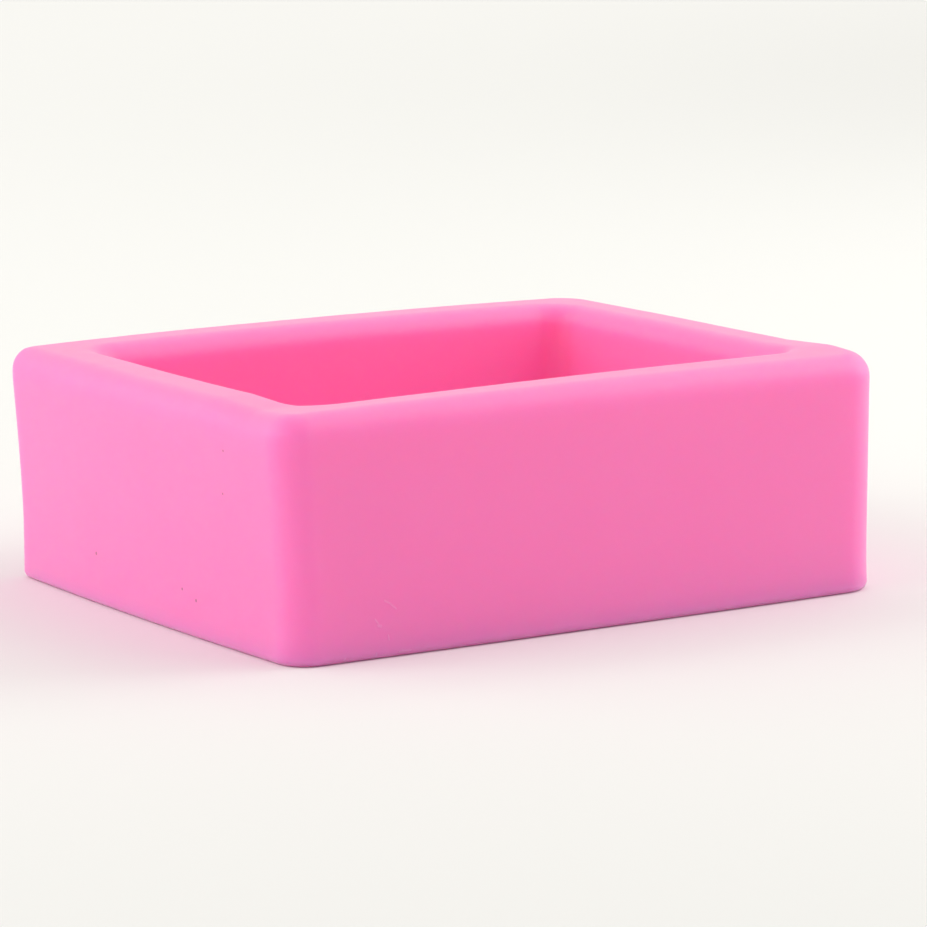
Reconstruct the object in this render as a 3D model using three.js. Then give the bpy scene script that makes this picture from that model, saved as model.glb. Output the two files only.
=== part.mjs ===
// A one-piece silicone mould for a single rectangular bar of soap or resin.
// Millimetres, +Z up. The origin is the centre of the underside, X runs along the length.
import * as THREE from 'three';

// Outside
const LENGTH = 90;
const WIDTH = 70;
const HEIGHT = 30.5;
const CORNER_RADIUS = 5;
const RIM_FILLET = 3;
const BASE_FILLET = 1;
const WALL_DRAFT = 0.4; // how far each outer face leans in between the rim and the base

// Cavity
const WALL = 9; // thickness of the walls at the rim
const FLOOR = 5.5; // thickness under the cavity
const CAVITY_CORNER_RADIUS = 3.2;
const CAVITY_EDGE_FILLET = 2.8; // on the inner edge of the rim
const CAVITY_FLOOR_FILLET = 2.5;
const CAVITY_DRAFT = 0.5; // how far each inner face leans in between the rim and the floor

// Smoothness
const FILLET_STEPS = 4;
const CORNER_STEPS = 5;

// Half of the wall's section, as inset from the outside against height: from the underside,
// up the outer face and over the rim's outer fillet.
function outerSection() {
  const foot = WALL_DRAFT + BASE_FILLET;
  const section = new THREE.Path();
  section.absarc(foot, BASE_FILLET, BASE_FILLET, 1.5 * Math.PI, Math.PI, true);
  section.absarc(RIM_FILLET, HEIGHT - RIM_FILLET, RIM_FILLET, Math.PI, 0.5 * Math.PI, true);
  return section.getPoints(FILLET_STEPS);
}

// The other half: from the rim's flat top, over the cavity's edge and down to its floor.
function cavitySection() {
  const edge = WALL - CAVITY_EDGE_FILLET;
  const toe = WALL + CAVITY_DRAFT + CAVITY_FLOOR_FILLET;
  const section = new THREE.Path();
  section.absarc(edge, HEIGHT - CAVITY_EDGE_FILLET, CAVITY_EDGE_FILLET, 0.5 * Math.PI, 0, true);
  section.absarc(toe, FLOOR + CAVITY_FLOOR_FILLET, CAVITY_FLOOR_FILLET, Math.PI, 1.5 * Math.PI);
  return section.getPoints(FILLET_STEPS);
}

// A closed level outline: the outside rectangle moved in by an inset, with round corners.
function ring(inset, cornerRadius, height) {
  const x = LENGTH / 2 - inset - cornerRadius;
  const y = WIDTH / 2 - inset - cornerRadius;
  const outline = new THREE.Path();
  outline.absarc(x, y, cornerRadius, 0, 0.5 * Math.PI);
  outline.absarc(-x, y, cornerRadius, 0.5 * Math.PI, Math.PI);
  outline.absarc(-x, -y, cornerRadius, Math.PI, 1.5 * Math.PI);
  outline.absarc(x, -y, cornerRadius, 1.5 * Math.PI, 2 * Math.PI);
  return outline.getPoints(CORNER_STEPS).map((p) => new THREE.Vector3(p.x, p.y, height));
}

// A closed surface through level rings, with a flat cap on the first and on the last ring.
function loft(rings) {
  const perRing = rings[0].length;
  const indices = [];
  for (let level = 0; level < rings.length - 1; level++) {
    for (let i = 0; i < perRing; i++) {
      const a = level * perRing + i;
      const b = level * perRing + ((i + 1) % perRing);
      indices.push(a, b, b + perRing, a, b + perRing, a + perRing);
    }
  }
  const lastRing = (rings.length - 1) * perRing;
  for (const [a, b, c] of THREE.ShapeUtils.triangulateShape(rings[0], [])) {
    indices.push(a, c, b);
  }
  for (const [a, b, c] of THREE.ShapeUtils.triangulateShape(rings.at(-1), [])) {
    indices.push(lastRing + a, lastRing + b, lastRing + c);
  }
  const geometry = new THREE.BufferGeometry().setFromPoints(rings.flat());
  geometry.setIndex(indices);
  geometry.computeVertexNormals();
  return geometry;
}

// The moulding: four walls, rim, cavity and floor in one casting. Each half of the section keeps
// its own corner, so the wall is a little thinner across the corners than along the sides.
function mouldBody() {
  const outside = outerSection().map((p) => ring(p.x, CORNER_RADIUS - p.x, p.y));
  const cavity = cavitySection().map((p) => ring(p.x, CAVITY_CORNER_RADIUS + WALL - p.x, p.y));
  const silicone = new THREE.MeshStandardMaterial({
    name: 'silicone',
    color: 0xfa78b8,
    roughness: 0.6,
    metalness: 0,
  });
  const mesh = new THREE.Mesh(loft([...outside, ...cavity]), silicone);
  mesh.name = 'mould_body';
  return mesh;
}

const mould = new THREE.Group();
mould.add(mouldBody());

export default mould;
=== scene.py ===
"""A pink silicone soap mould on a pale studio floor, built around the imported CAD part.

Metres, +Z up, in the CAD's own frame: the origin is the centre of the underside and X runs along
the length. "Near" is the -Y side, "left" is the -X side.
"""

import math

import bpy
import numpy as np
from mathutils import Matrix, Vector, noise


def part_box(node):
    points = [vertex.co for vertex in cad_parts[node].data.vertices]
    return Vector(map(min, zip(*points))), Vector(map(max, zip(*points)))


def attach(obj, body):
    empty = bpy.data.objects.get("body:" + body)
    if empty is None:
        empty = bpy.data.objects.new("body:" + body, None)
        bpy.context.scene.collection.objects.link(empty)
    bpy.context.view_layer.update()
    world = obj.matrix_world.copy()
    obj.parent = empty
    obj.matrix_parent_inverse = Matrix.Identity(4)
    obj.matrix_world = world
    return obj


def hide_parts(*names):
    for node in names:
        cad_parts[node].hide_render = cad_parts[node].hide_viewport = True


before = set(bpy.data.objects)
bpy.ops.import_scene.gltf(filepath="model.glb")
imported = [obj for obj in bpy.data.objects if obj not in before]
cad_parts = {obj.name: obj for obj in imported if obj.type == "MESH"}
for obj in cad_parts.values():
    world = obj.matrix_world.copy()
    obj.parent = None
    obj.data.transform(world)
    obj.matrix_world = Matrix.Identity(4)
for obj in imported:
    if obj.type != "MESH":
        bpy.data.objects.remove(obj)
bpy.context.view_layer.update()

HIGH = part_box("mould_body")[1]
MM = 0.001

# The moulding's section. Its four corners differ a little, and are listed from the near left one
# anticlockwise.
HEIGHT = HIGH.z
CORNER_RADII = (4.1 * MM, 5.1 * MM, 5.9 * MM, 2.6 * MM)
RIM_FILLET = 2.95 * MM
BASE_FILLET = 1.05 * MM
WALL = 9.0 * MM
FLOOR = 5.5 * MM
CAVITY_CORNER_RADIUS = 3.2 * MM
CAVITY_EDGE_FILLET = 2.8 * MM
CAVITY_FLOOR_FILLET = 2.5 * MM
CAVITY_DRAFT = 0.5 * MM
TIGHTEST_CORNER = 1.0 * MM

# How the soft walls stand: the lean of each face between rim and base, the band of heights in which
# the left face leans, the flare of the right face at its foot, the bow along each side, how much higher
# the rim is in the middle of its long sides, and how the near rim's inner edge tips along its length
LEAN_LEFT = 1.17 * MM
LEAN_RIGHT = 0.1 * MM
LEAN_NEAR = 0.02 * MM
LEAN_FAR = 0.08 * MM
LEFT_LEAN_BAND = (0.23, 0.87)
LEFT_LEAN_SHAPE = 1.4
FOOT_FLARE = 0.22 * MM
FOOT_FLARE_HEIGHT = 7 * MM
BOW_LONG = 0.44 * MM
BOW_SHORT = 0.79 * MM
RIM_CROWN = 0.41 * MM
EDGE_TIP = 0.51 * MM
EDGE_DROP = 0.01 * MM

# Unevenness of the cast surface, as (depth, size of a wave)
BROAD_WAVES = (0.06 * MM, 19 * MM)
FINE_WAVES = (0.012 * MM, 3.2 * MM)
TRIM_WAVES = (0.06 * MM, 1.3 * MM)
TRIM_HEIGHT = 1.8 * MM

# Marks on the near face as (start, end, half width): two scratches from handling, a nick, and the
# pips that trimming left at the foot. Places are in mm on the straight moulding.
SCRATCHES = [
    ((-32.0, -35.0, 7.1), (-31.2, -35.0, 6.7), 0.14),
    ((-31.2, -35.0, 6.7), (-30.4, -35.0, 6.0), 0.14),
    ((-33.4, -35.0, 5.0), (-33.0, -35.0, 4.5), 0.12),
    ((-32.9, -35.0, 4.2), (-32.6, -35.0, 4.1), 0.24),
    ((-31.5, -35.0, 2.9), (-31.4, -35.0, 2.3), 0.11),
    ((-33.2, -34.9, 0.5), (-33.2, -34.9, 0.9), 0.17),
    ((-37.8, -34.9, 0.6), (-37.7, -34.9, 0.7), 0.18),
    ((-29.9, -34.9, 0.7), (-28.2, -34.9, 0.7), 0.12),
]
# Specks of dirt cast into the left face, as (place, radius)
SPECKS = [
    ((-45.0, 12.2, 6.7), 0.30),
    ((-45.0, -13.0, 4.9), 0.28),
    ((-45.0, -9.7, 5.8), 0.24),
    ((-45.0, -20.6, 19.5), 0.20),
    ((-45.0, -21.5, 25.0), 0.20),
]

# Mesh density: steps along each part of a ring and of the section
LONG_STEPS = 110
SHORT_STEPS = 84
CORNER_STEPS = 18
FILLET_STEPS = 10
WALL_STEPS = 26
RIM_STEPS = 6

# Silicone: its pigment, how far red, green and blue light travel in it, and the size of its textures
# as repeats per metre
PIGMENT_DEEP = (0.96, 0.183, 0.54, 1)
PIGMENT_LIGHT = (0.98, 0.197, 0.564, 1)
SCRATCH_TINT = (0.97, 0.25, 0.6, 1)
SPECK_TINT = (0.5, 0.1, 0.25, 1)
SCATTER_LENGTH = 6.5 * MM
SCATTER_SHARES = (1.0, 0.5, 0.75)
CLOUD_SCALE = 70
CLOUD_DETAIL = 3.0
PATCH_SCALE = 450
PATCH_DETAIL = 4.0
ROUGHNESS = (0.45, 0.58)
TOOTH_SCALE = 5200
TOOTH_DETAIL = 2.0
TOOTH_DEPTH = 0.01 * MM
SCRATCH_DEPTH = 0.05 * MM
REFRACTIVE_INDEX = 1.41
SPECULAR_LEVEL = 0.9
SHEEN = 0.25
SHEEN_ROUGHNESS = 0.5

# Camera: the direction it looks from, and its lens and sensor in mm
AZIMUTH = -33.158
ELEVATION = 9.898
ROLL = -0.080
DISTANCE = 590.85 * MM
OFFSET_RIGHT = 2.725 * MM
OFFSET_UP = 0.276 * MM
LENS = 179.8
SENSOR_WIDTH = 36.0

# Softboxes around the mould: name, azimuth and elevation of the direction from the mould, width,
# height and watts
SOFTBOXES = [
    ("softbox_left", 262, 25, 0.5, 0.45, 1.22),
    ("softbox_left_back", 228, 28, 0.5, 0.45, 0.85),
    ("softbox_right_front", 45, 50, 0.4, 0.4, 0.62),
    ("softbox_right_low", 75, 28, 0.4, 0.4, 1.3),
    ("softbox_right_back", 105, 45, 0.4, 0.4, 0.33),
]
SOFTBOX_DISTANCE = 0.6

# The colour of all the light; the floor's own colour makes up for it
WARM_WHITE = (1.0, 0.955, 0.837)
ROOM_STRENGTH = 0.65

# A lamp over the far floor, with a hood that keeps its light off the mould
BACKDROP_PLACE = (0.65, 1.0, 0.8)
BACKDROP_SIZE = (2.4, 1.2)
BACKDROP_WATTS = 5.0
BACKDROP_SPREAD = 95

FLOOR_SIZE = 6.0
FLOOR_COLOUR = (0.785, 0.815, 0.89, 1)
FLOOR_ROUGHNESS = 0.9


def arc(x, y, radius, start, end, steps):
    """Points on a circle's arc between two angles in degrees."""
    angles = [math.radians(start + (end - start) * i / steps) for i in range(steps + 1)]
    return [(x + radius * math.cos(a), y + radius * math.sin(a)) for a in angles]


def between(a, b, steps):
    """Points that divide the line from a to b into equal steps, without a and b themselves."""
    return [tuple(p + (q - p) * i / steps for p, q in zip(a, b)) for i in range(1, steps)]


def corner_row(inset, height, radii):
    """A row of the section: its corners share their centres with the four given ones."""
    return (inset, height, *(max(radius - inset, TIGHTEST_CORNER) for radius in radii))


def wall_section():
    """Rows of (inset, height, four corner radii) from the foot of the outer face, up and over the
    rim, and down the inner face to the flat floor of the cavity."""
    base = arc(BASE_FILLET, BASE_FILLET, BASE_FILLET, 270, 180, FILLET_STEPS)
    rim = arc(RIM_FILLET, HEIGHT - RIM_FILLET, RIM_FILLET, 180, 90, FILLET_STEPS)
    edge_inset = WALL - CAVITY_EDGE_FILLET
    edge = arc(edge_inset, HEIGHT - CAVITY_EDGE_FILLET, CAVITY_EDGE_FILLET, 90, 0, FILLET_STEPS)
    toe_inset = WALL + CAVITY_DRAFT + CAVITY_FLOOR_FILLET
    toe_height = FLOOR + CAVITY_FLOOR_FILLET
    toe = arc(toe_inset, toe_height, CAVITY_FLOOR_FILLET, 180, 270, FILLET_STEPS)
    outside = base + between(base[-1], rim[0], WALL_STEPS) + rim
    inside = edge + between(edge[-1], toe[0], WALL_STEPS) + toe
    outer_rows = [corner_row(inset, z, CORNER_RADII) for inset, z in outside]
    cavity_radii = (CAVITY_CORNER_RADIUS + WALL,) * 4
    inner_rows = [corner_row(inset, z, cavity_radii) for inset, z in inside]
    return outer_rows + between(outer_rows[-1], inner_rows[0], RIM_STEPS) + inner_rows


def ring(inset, height, *radii):
    """One level outline: the outside rectangle moved in by inset, with round corners, anticlockwise
    from the middle of the near left corner."""
    corners = []
    for i, radius in enumerate(radii):
        x = (HIGH.x - inset - radius) * (-1, 1, 1, -1)[i]
        y = (HIGH.y - inset - radius) * (-1, -1, 1, 1)[i]
        corners.append(arc(x, y, radius, 180 + 90 * i, 270 + 90 * i, CORNER_STEPS))
    points = []
    for i, steps in enumerate((LONG_STEPS, SHORT_STEPS, LONG_STEPS, SHORT_STEPS)):
        here, after = corners[i], corners[(i + 1) % 4]
        points += here + between(here[-1], after[0], steps)
    half = CORNER_STEPS // 2
    points = points[half:] + points[:half]
    return np.array([(px, py, height) for px, py in points])


def patch(outline):
    """A grid of points that fills a closed outline of four sides, which start at the middles of the
    corners, by blending each side towards the opposite one."""
    across = LONG_STEPS + CORNER_STEPS
    up = SHORT_STEPS + CORNER_STEPS
    closed = np.vstack([outline, outline[:1]])
    near = closed[: across + 1]
    right = closed[across : across + up + 1]
    far = closed[across + up : 2 * across + up + 1][::-1]
    left = closed[2 * across + up :][::-1]
    u = np.linspace(0, 1, across + 1)[:, None, None]
    v = np.linspace(0, 1, up + 1)[None, :, None]
    sides = (1 - v) * near[:, None] + v * far[:, None] + (1 - u) * left[None] + u * right[None]
    ends = (1 - u) * (1 - v) * near[0] + u * (1 - v) * near[-1] + (1 - u) * v * far[0] + u * v * far[-1]
    return sides - ends


def outline_numbers(first):
    """The vertex numbers that a patch's border has in the ring that starts at first, as a grid with
    -1 where the patch has points of its own."""
    across = LONG_STEPS + CORNER_STEPS
    up = SHORT_STEPS + CORNER_STEPS
    numbers = np.full((across + 1, up + 1), -1)
    numbers[:, 0] = np.arange(across + 1)
    numbers[-1, :] = across + np.arange(up + 1)
    numbers[:, -1] = (across + up + np.arange(across + 1))[::-1]
    left = (2 * across + up + np.arange(up + 1)) % (2 * (across + up))
    numbers[0, :] = left[::-1]
    numbers[numbers >= 0] += first
    return numbers


def mould_surface():
    """The whole moulding as vertices and quads: rings joined up the outside and down the inside, and a
    grid across the underside and across the cavity's floor."""
    rings = [ring(*row) for row in wall_section()]
    count = len(rings[0])
    vertices = [np.vstack(rings)]
    faces = []
    for level in range(len(rings) - 1):
        for i in range(count):
            a = level * count + i
            b = level * count + (i + 1) % count
            faces.append((a, b, b + count, a + count))
    used = len(rings) * count
    for outline, first, facing_up in ((rings[0], 0, False), (rings[-1], used - count, True)):
        points = patch(outline)
        numbers = outline_numbers(first)
        inside = numbers < 0
        numbers[inside] = used + np.arange(inside.sum())
        used += inside.sum()
        vertices.append(points[inside])
        for i in range(numbers.shape[0] - 1):
            for j in range(numbers.shape[1] - 1):
                quad = [numbers[i, j], numbers[i + 1, j], numbers[i + 1, j + 1], numbers[i, j + 1]]
                faces.append(tuple(int(n) for n in (quad if facing_up else quad[::-1])))
    return np.vstack(vertices), faces


def settle(points):
    """Leans and bows the straight moulding as the soft walls do: each face leans in towards the base,
    the corners draw in from the middle of each side, the rim is lowest at its ends, and the near
    rim's inner edge tips down to the left."""
    x, y, z = points.T
    along = x / HIGH.x
    across = y / HIGH.y
    height = z / HEIGHT
    low, high = LEFT_LEAN_BAND
    left_lean = LEAN_LEFT * (1 - np.clip((height - low) / (high - low), 0, 1) ** LEFT_LEAN_SHAPE)
    flare = FOOT_FLARE * np.clip(1 - z / FOOT_FLARE_HEIGHT, 0, 1) ** 2
    right_lean = flare - LEAN_RIGHT * (1 - height)
    lean_x = np.where(along > 0, right_lean, left_lean) * np.abs(along)
    lean_y = np.where(across > 0, -LEAN_FAR, LEAN_NEAR) * np.abs(across) * (1 - height)
    bow_x = -BOW_SHORT * along * across**2
    bow_y = -BOW_LONG * across * along**2
    crown = -RIM_CROWN * along**2 * height
    at_edge = np.clip(1 - np.abs(y + HIGH.y - WALL) / WALL, 0, 1) * height
    tip = (EDGE_TIP * along - EDGE_DROP) * at_edge
    return np.stack([x + lean_x + bow_x, y + lean_y + bow_y, z + crown + tip], 1)


def roughen(mesh):
    """Moves each vertex along its normal by the unevenness of a cast and trimmed surface."""
    normals = [vertex.normal.copy() for vertex in mesh.vertices]
    for vertex, normal in zip(mesh.vertices, normals):
        p = vertex.co
        move = BROAD_WAVES[0] * noise.noise(p / BROAD_WAVES[1])
        move += FINE_WAVES[0] * noise.noise(p / FINE_WAVES[1])
        if p.z < TRIM_HEIGHT:
            fade = 1 - p.z / TRIM_HEIGHT
            move += TRIM_WAVES[0] * fade * noise.noise(p / TRIM_WAVES[1])
        grip = min(1.0, p.z / BASE_FILLET)
        vertex.co = p + normal * move * grip
    mesh.update()


def node(tree, kind, **values):
    """Adds a shader node. A value is a number or colour for the socket of that name, or a socket to
    link to it; names that aren't sockets are the node's own settings."""
    made = tree.nodes.new(kind)
    for name, value in values.items():
        socket = made.inputs.get(name.replace("_", " "))
        if socket is None:
            setattr(made, name, value)
        elif isinstance(value, bpy.types.NodeSocket):
            tree.links.new(value, socket)
        else:
            socket.default_value = value
    return made


def closeness(tree, distance, radius):
    """A mask that is 1 where a distance is well under the radius and 0 beyond it."""
    edge = node(tree, "ShaderNodeMapRange", Value=distance)
    edge.inputs["From Min"].default_value = radius
    edge.inputs["From Max"].default_value = radius / 2
    return edge.outputs["Result"]


def vector_math(tree, operation, first, second):
    made = node(tree, "ShaderNodeVectorMath", operation=operation)
    for socket, value in zip(made.inputs, (first, second)):
        if isinstance(value, bpy.types.NodeSocket):
            tree.links.new(value, socket)
        else:
            socket.default_value = value
    return made.outputs["Value" if operation in ("DOT_PRODUCT", "DISTANCE") else "Vector"]


def on_wall(place):
    """Where a place on the straight moulding, in mm, is on the settled one."""
    return Vector(settle(np.array([place]) * MM)[0])


def line_mask(tree, place, start, end, radius):
    """1 along the line from start to end, fading to 0 at the radius from it. Lengths are in mm."""
    start, end = on_wall(start), on_wall(end)
    line = end - start
    offset = vector_math(tree, "SUBTRACT", place, start)
    share = vector_math(tree, "DOT_PRODUCT", offset, line / line.length_squared)
    clamped = node(tree, "ShaderNodeClamp", Value=share).outputs["Result"]
    scaled = node(tree, "ShaderNodeVectorMath", operation="SCALE", Vector=line, Scale=clamped)
    gap = vector_math(tree, "DISTANCE", offset, scaled.outputs["Vector"])
    return closeness(tree, gap, radius * MM)


def point_mask(tree, place, point, radius):
    gap = vector_math(tree, "DISTANCE", place, on_wall(point))
    return closeness(tree, gap, radius * MM)


def strongest(tree, masks):
    """The largest of several masks at each place."""
    total = masks[0]
    for mask in masks[1:]:
        joined = node(tree, "ShaderNodeMath", operation="MAXIMUM")
        tree.links.new(total, joined.inputs[0])
        tree.links.new(mask, joined.inputs[1])
        total = joined.outputs["Value"]
    return total


def tinted(tree, colour, mask, tint):
    """The colour, replaced by a tint where the mask is 1."""
    mixed = node(tree, "ShaderNodeMix", data_type="RGBA")
    tree.links.new(mask, mixed.inputs["Factor"])
    tree.links.new(colour, mixed.inputs["A"])
    mixed.inputs["B"].default_value = tint
    return mixed.outputs["Result"]


def silicone_material():
    """Matte pink silicone: light scatters under the surface, the pigment is a little cloudy, and the
    skin has the fine tooth of a blasted steel tool, with a few specks and handling marks."""
    material = bpy.data.materials.new("pink_silicone")
    material.use_nodes = True
    tree = material.node_tree
    shader = tree.nodes["Principled BSDF"]
    place = node(tree, "ShaderNodeTexCoord").outputs["Object"]

    cloud = node(tree, "ShaderNodeTexNoise", Vector=place, Scale=CLOUD_SCALE, Detail=CLOUD_DETAIL)
    pigment = node(tree, "ShaderNodeValToRGB", Fac=cloud.outputs["Fac"])
    pigment.color_ramp.elements[0].color = PIGMENT_DEEP
    pigment.color_ramp.elements[1].color = PIGMENT_LIGHT
    scratches = strongest(tree, [line_mask(tree, place, *scratch) for scratch in SCRATCHES])
    specks = strongest(tree, [point_mask(tree, place, *speck) for speck in SPECKS])
    colour = tinted(tree, pigment.outputs["Color"], scratches, SCRATCH_TINT)
    colour = tinted(tree, colour, specks, SPECK_TINT)
    tree.links.new(colour, shader.inputs["Base Color"])

    patches = node(tree, "ShaderNodeTexNoise", Vector=place, Scale=PATCH_SCALE, Detail=PATCH_DETAIL)
    matte = node(tree, "ShaderNodeMapRange", Value=patches.outputs["Fac"])
    matte.inputs["To Min"].default_value, matte.inputs["To Max"].default_value = ROUGHNESS
    tree.links.new(matte.outputs["Result"], shader.inputs["Roughness"])

    tooth = node(tree, "ShaderNodeTexNoise", Vector=place, Scale=TOOTH_SCALE, Detail=TOOTH_DETAIL)
    skin = node(tree, "ShaderNodeBump", Height=tooth.outputs["Fac"], Strength=1.0, Distance=TOOTH_DEPTH)
    scored = node(tree, "ShaderNodeBump", Height=scratches, Strength=1.0, Distance=SCRATCH_DEPTH)
    tree.links.new(skin.outputs["Normal"], scored.inputs["Normal"])
    tree.links.new(scored.outputs["Normal"], shader.inputs["Normal"])

    shader.inputs["IOR"].default_value = REFRACTIVE_INDEX
    shader.inputs["Specular IOR Level"].default_value = SPECULAR_LEVEL
    shader.inputs["Sheen Weight"].default_value = SHEEN
    shader.inputs["Sheen Roughness"].default_value = SHEEN_ROUGHNESS
    shader.inputs["Subsurface Weight"].default_value = 1.0
    shader.inputs["Subsurface Radius"].default_value = SCATTER_SHARES
    shader.inputs["Subsurface Scale"].default_value = SCATTER_LENGTH
    return material


def build_mould():
    points, faces = mould_surface()
    mesh = bpy.data.meshes.new("mould_body_silicone")
    mesh.from_pydata(settle(points).tolist(), [], faces)
    mesh.update()
    roughen(mesh)
    mesh.polygons.foreach_set("use_smooth", [True] * len(mesh.polygons))
    mesh.materials.append(silicone_material())
    mould = bpy.data.objects.new("mould_body_silicone", mesh)
    bpy.context.scene.collection.objects.link(mould)
    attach(mould, "root")
    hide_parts("mould_body")


def floor_material():
    material = bpy.data.materials.new("studio_floor")
    material.use_nodes = True
    shader = material.node_tree.nodes["Principled BSDF"]
    shader.inputs["Base Color"].default_value = FLOOR_COLOUR
    shader.inputs["Roughness"].default_value = FLOOR_ROUGHNESS
    return material


def build_floor():
    half = FLOOR_SIZE / 2
    mesh = bpy.data.meshes.new("studio_floor")
    corners = [(-half, -half, 0), (half, -half, 0), (half, half, 0), (-half, half, 0)]
    mesh.from_pydata(corners, [], [(0, 1, 2, 3)])
    mesh.materials.append(floor_material())
    floor = bpy.data.objects.new("studio_floor", mesh)
    bpy.context.scene.collection.objects.link(floor)


def direction(azimuth, elevation):
    """The unit vector from the mould towards a place: azimuth 0 is the -Y side and 90 the +X side."""
    a = math.radians(azimuth)
    e = math.radians(elevation)
    return Vector((math.sin(a) * math.cos(e), -math.cos(a) * math.cos(e), math.sin(e)))


def softbox(name, place, towards, width, height, power):
    """A rectangular lamp at a place; towards is the direction that its back faces."""
    light = bpy.data.lights.new(name, "AREA")
    light.shape = "RECTANGLE"
    light.size = width
    light.size_y = height
    light.energy = power
    light.color = WARM_WHITE
    lamp = bpy.data.objects.new(name, light)
    lamp.location = place
    lamp.rotation_euler = towards.to_track_quat("Z", "Y").to_euler()
    bpy.context.scene.collection.objects.link(lamp)
    return light


def build_lights():
    for name, azimuth, elevation, width, height, power in SOFTBOXES:
        towards = direction(azimuth, elevation)
        softbox(name, towards * SOFTBOX_DISTANCE, towards, width, height, power)
    up = Vector((0, 0, 1))
    backdrop = softbox("softbox_backdrop", Vector(BACKDROP_PLACE), up, *BACKDROP_SIZE, BACKDROP_WATTS)
    backdrop.spread = math.radians(BACKDROP_SPREAD)
    world = bpy.data.worlds.new("studio_room")
    world.use_nodes = True
    background = world.node_tree.nodes["Background"]
    background.inputs["Color"].default_value = (*WARM_WHITE, 1)
    background.inputs["Strength"].default_value = ROOM_STRENGTH
    bpy.context.scene.world = world


def build_camera():
    camera = bpy.data.cameras.new("camera")
    camera.sensor_width = SENSOR_WIDTH
    camera.lens = LENS
    viewer = bpy.data.objects.new("camera", camera)
    back = direction(AZIMUTH, ELEVATION)
    level = Vector((0, 0, 1)).cross(back).normalized()
    turn = Matrix.Rotation(math.radians(ROLL), 3, back)
    right = turn @ level
    up = turn @ back.cross(level)
    centre = Vector((0, 0, HEIGHT / 2))
    place = centre + right * OFFSET_RIGHT + up * OFFSET_UP + back * DISTANCE
    viewer.matrix_world = Matrix.LocRotScale(place, Matrix((right, up, back)).transposed(), None)
    bpy.context.scene.collection.objects.link(viewer)
    bpy.context.scene.camera = viewer


build_camera()
build_mould()
build_floor()
build_lights()
bpy.context.scene.view_settings.view_transform = "Standard"
